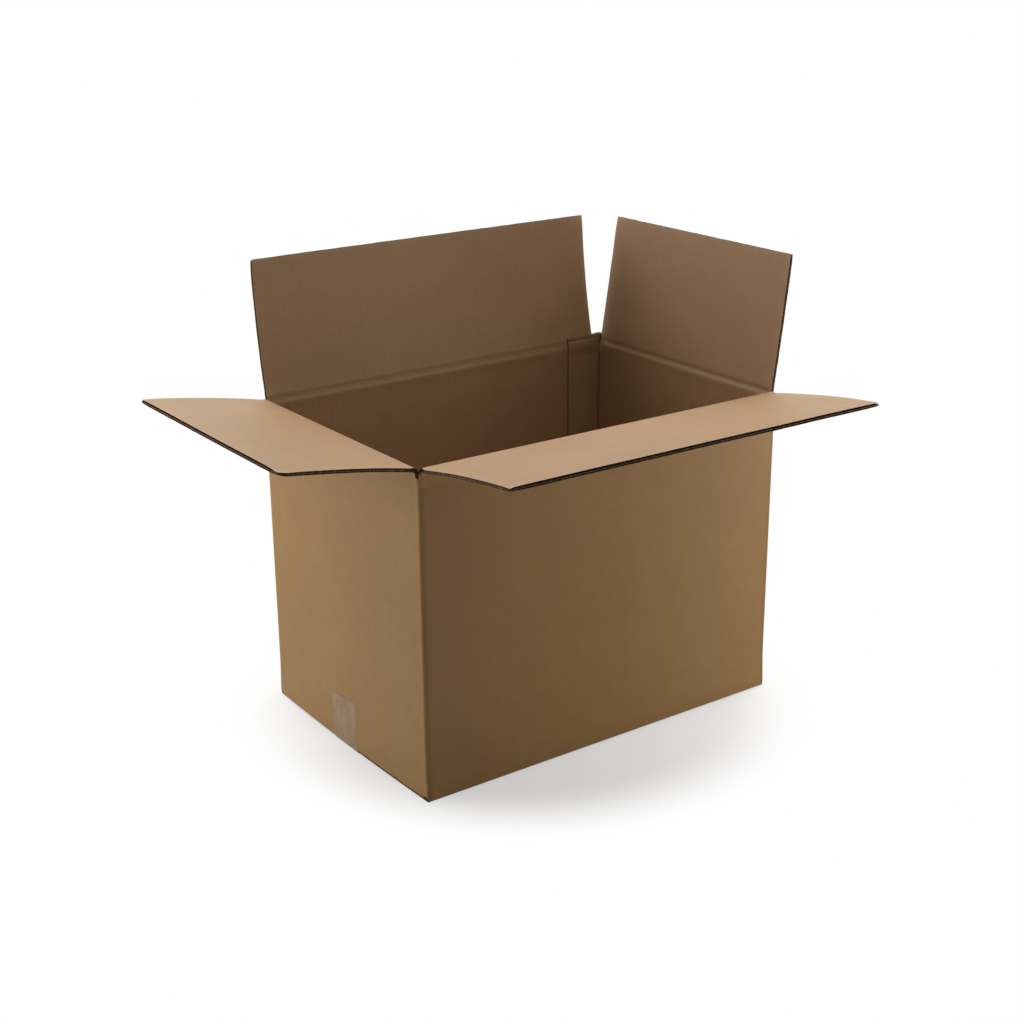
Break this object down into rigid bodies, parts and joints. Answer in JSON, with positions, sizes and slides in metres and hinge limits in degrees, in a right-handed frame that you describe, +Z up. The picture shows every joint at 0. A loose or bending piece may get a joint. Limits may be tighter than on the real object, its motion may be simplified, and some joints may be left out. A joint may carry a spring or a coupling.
{
  "type": "open cardboard box",
  "caption": "Open rectangular shipping carton of double-wall corrugated board, with hinged top flaps, folded bottom flaps, a glued corner tab and tape along the bottom seam.",
  "frame": {"origin": "centre of the base, on the plane the box stands on", "axes": "+Z up, X along the long walls with +X towards the glued tab, -Y towards the front wall"},
  "size_m": [0.8135, 0.6308, 0.6507],
  "materials": {
    "board": "matt brown kraft liner with faint flute lines",
    "tape": "thin translucent packing tape, slightly glossy, stuck to brown board"
  },
  "bodies": {
    "carton": {"box_body": "board", "bottom_tape": "tape"},
    "front_flap": {"front_flap": "board"},
    "back_flap": {"back_flap": "board"},
    "left_flap": {"left_flap": "board"},
    "right_flap": {"right_flap": "board"}
  },
  "joints": [
    {"name": "front_flap_fold", "type": "hinge", "parent": "carton", "child": "front_flap", "pos_m": [0, -0.20215, 0.4552], "axis": [-1, 0, 0], "range_deg": [-97.65, 169.45]},
    {"name": "back_flap_fold", "type": "hinge", "parent": "carton", "child": "back_flap", "pos_m": [0, 0.20215, 0.4552], "axis": [1, 0, 0], "range_deg": [-167, 97.6]},
    {"name": "left_flap_fold", "type": "hinge", "parent": "carton", "child": "left_flap", "pos_m": [-0.30015, 0, 0.4486], "axis": [0, 1, 0], "range_deg": [-100.9, 169.1]},
    {"name": "right_flap_fold", "type": "hinge", "parent": "carton", "child": "right_flap", "pos_m": [0.30015, 0, 0.4486], "axis": [0, -1, 0], "range_deg": [-170.7, 99.3]}
  ]
}
